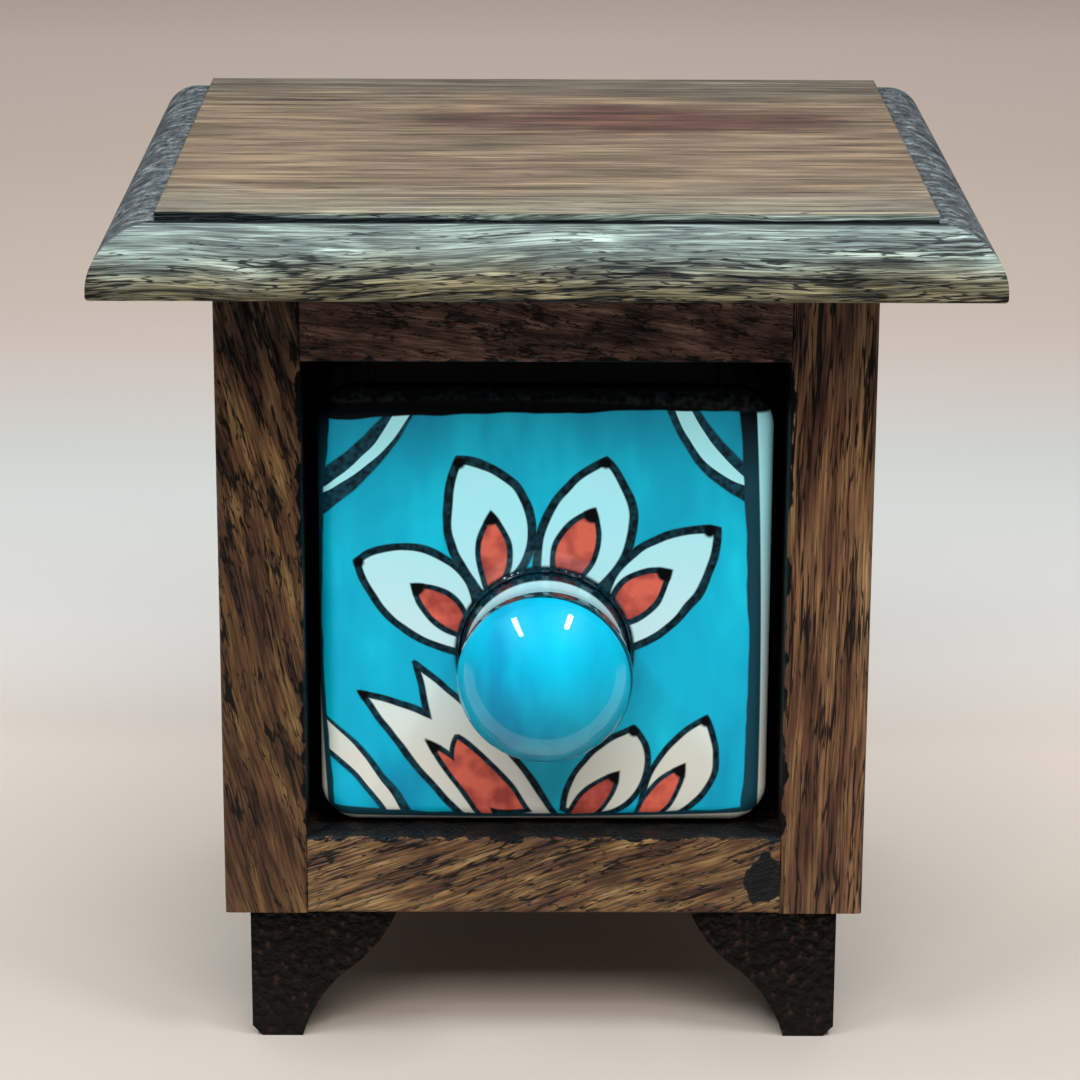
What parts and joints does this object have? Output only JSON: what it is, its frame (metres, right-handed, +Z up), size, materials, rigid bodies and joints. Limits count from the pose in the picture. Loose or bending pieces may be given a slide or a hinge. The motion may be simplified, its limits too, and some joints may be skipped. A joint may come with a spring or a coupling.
{
  "type": "single-drawer tabletop chest",
  "caption": "Small plank chest on bracket feet with a moulded, overhanging top and a glazed ceramic drawer that slides out by its round knob, for keeping small things on a table.",
  "frame": {"origin": "on the surface the chest stands on, under the middle of its top board", "axes": "+X to the right seen from the front, +Y to the back, +Z up; the drawer faces -Y"},
  "size_m": [0.134, 0.128, 0.1358],
  "materials": {
    "top_wood": "satin",
    "case_wood": "satin",
    "panel_wood": "matte",
    "foot_wood": "satin",
    "drawer_glaze": "gloss",
    "fastener_steel": "satin"
  },
  "bodies": {
    "chest": {"top_board": "top_wood", "left_side": "case_wood", "right_side": "case_wood", "carcass_top": "case_wood", "carcass_bottom": "case_wood", "back_panel": "panel_wood", "front_left_foot": "foot_wood", "front_right_foot": "foot_wood", "rear_left_foot": "foot_wood", "rear_right_foot": "foot_wood", "side_brads": "fastener_steel", "foot_brads": "fastener_steel", "panel_brads": "fastener_steel", "top_board_screws": "fastener_steel"},
    "drawer": {"ceramic_drawer": "drawer_glaze"}
  },
  "joints": [
    {"name": "drawer_slide", "type": "slide", "parent": "chest", "child": "drawer", "axis": [0, -1, 0], "range_m": [0, 0.07]}
  ]
}
